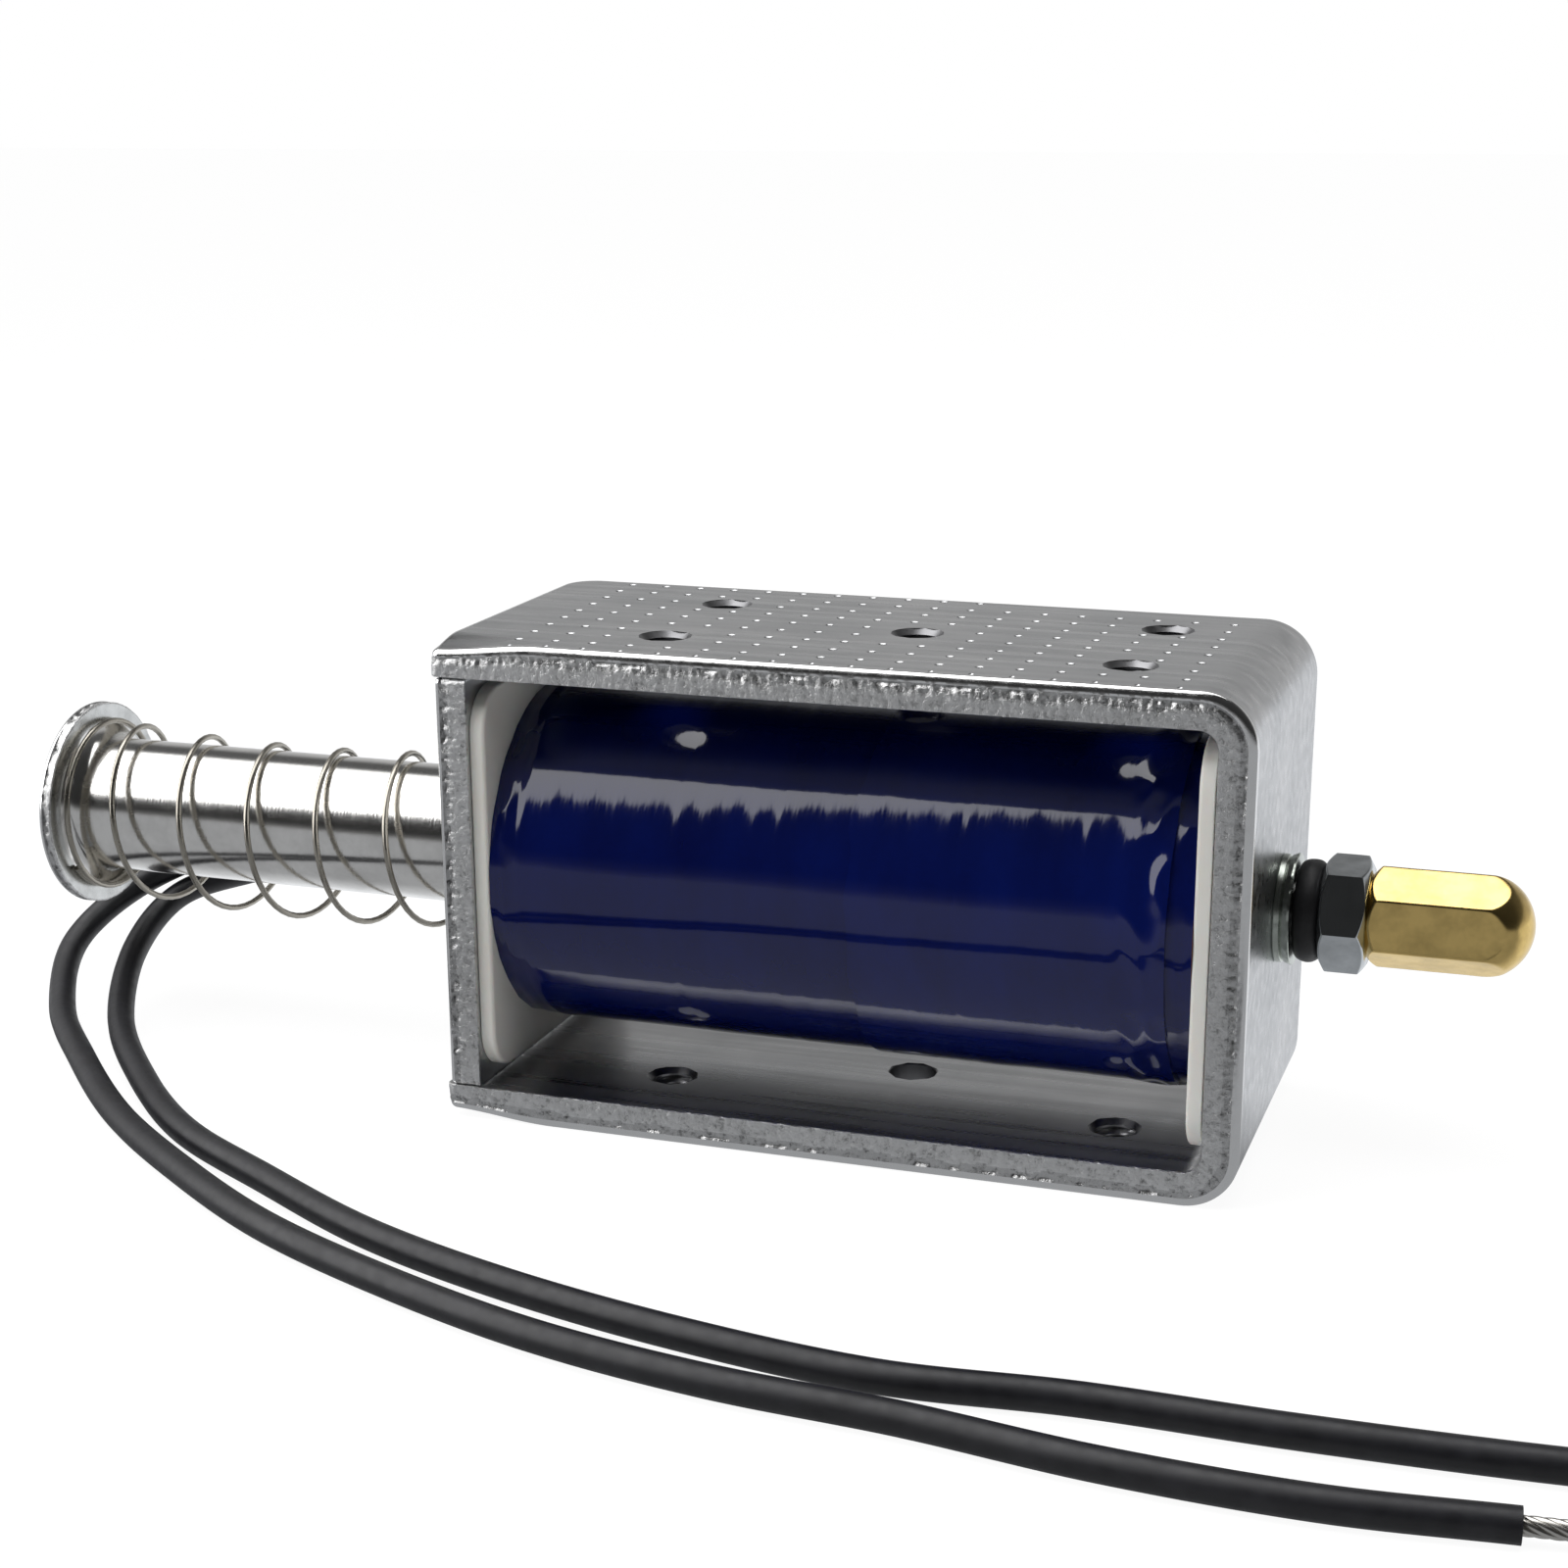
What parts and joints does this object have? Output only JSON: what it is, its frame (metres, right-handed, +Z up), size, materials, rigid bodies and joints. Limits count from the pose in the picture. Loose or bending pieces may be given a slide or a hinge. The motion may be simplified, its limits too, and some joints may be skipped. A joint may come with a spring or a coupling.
{
  "type": "push pull solenoid",
  "caption": "Open-frame push-pull solenoid: bent steel bracket, taped coil, spring-returned plunger with a flanged pull end and a capped push end, and two leads.",
  "frame": {"origin": "centre of the lower mounting hole pattern, on the underside of the bracket", "axes": "+X along the plunger towards the push end, +Y to the back where the leads leave the coil, +Z up from the base face"},
  "size_m": [0.1481, 0.0754, 0.039],
  "materials": {
    "zinc_steel": "zinc plated, satin, flattening dimples on the sheet",
    "white_nylon": "moulded, satin",
    "enamelled_copper": "enamelled wire",
    "blue_tape": "glossy polyester tape",
    "guide_brass": "drawn, smooth",
    "core_steel": "zinc plated, faint greenish tint",
    "plated_steel": "bright nickel plated, turned",
    "rod_steel": "ground",
    "washer_film": "plain film",
    "spring_steel": "drawn wire, satin",
    "black_rubber": "matte",
    "nut_steel": "zinc plated",
    "cap_brass": "bright turned brass",
    "black_insulation": "smooth vinyl, semi-matte",
    "tinned_copper": "tinned strands, twisted"
  },
  "bodies": {
    "frame": {"frame_bracket": "zinc_steel", "end_plate": "zinc_steel", "bobbin": "white_nylon", "coil_winding": "enamelled_copper", "coil_tape": "blue_tape", "tape_patch": "blue_tape", "lead_pad": "blue_tape", "guide_tube": "guide_brass", "fixed_core": "core_steel", "lead_wire_a": "black_insulation", "lead_wire_b": "black_insulation", "lead_tip_a": "tinned_copper", "lead_tip_b": "tinned_copper"},
    "spring_carriage": {"return_spring": "spring_steel"},
    "plunger_assembly": {"plunger": "plated_steel", "plunger_flange": "plated_steel", "push_rod": "rod_steel", "anti_stick_washer": "washer_film", "rubber_ring": "black_rubber", "hex_nut": "nut_steel", "cap_nut": "cap_brass"}
  },
  "joints": [
    {"name": "plunger_slide", "type": "slide", "parent": "frame", "child": "spring_carriage", "axis": [1, 0, 0], "range_m": [0, 0.01], "stiffness_N_per_m": 35, "springref_m": -0.01, "deforming": ["return_spring"]},
    {"name": "plunger_spin", "type": "hinge", "parent": "spring_carriage", "child": "plunger_assembly", "pos_m": [-0.0345, 0, 0.0195], "axis": [1, 0, 0], "continuous": true}
  ]
}
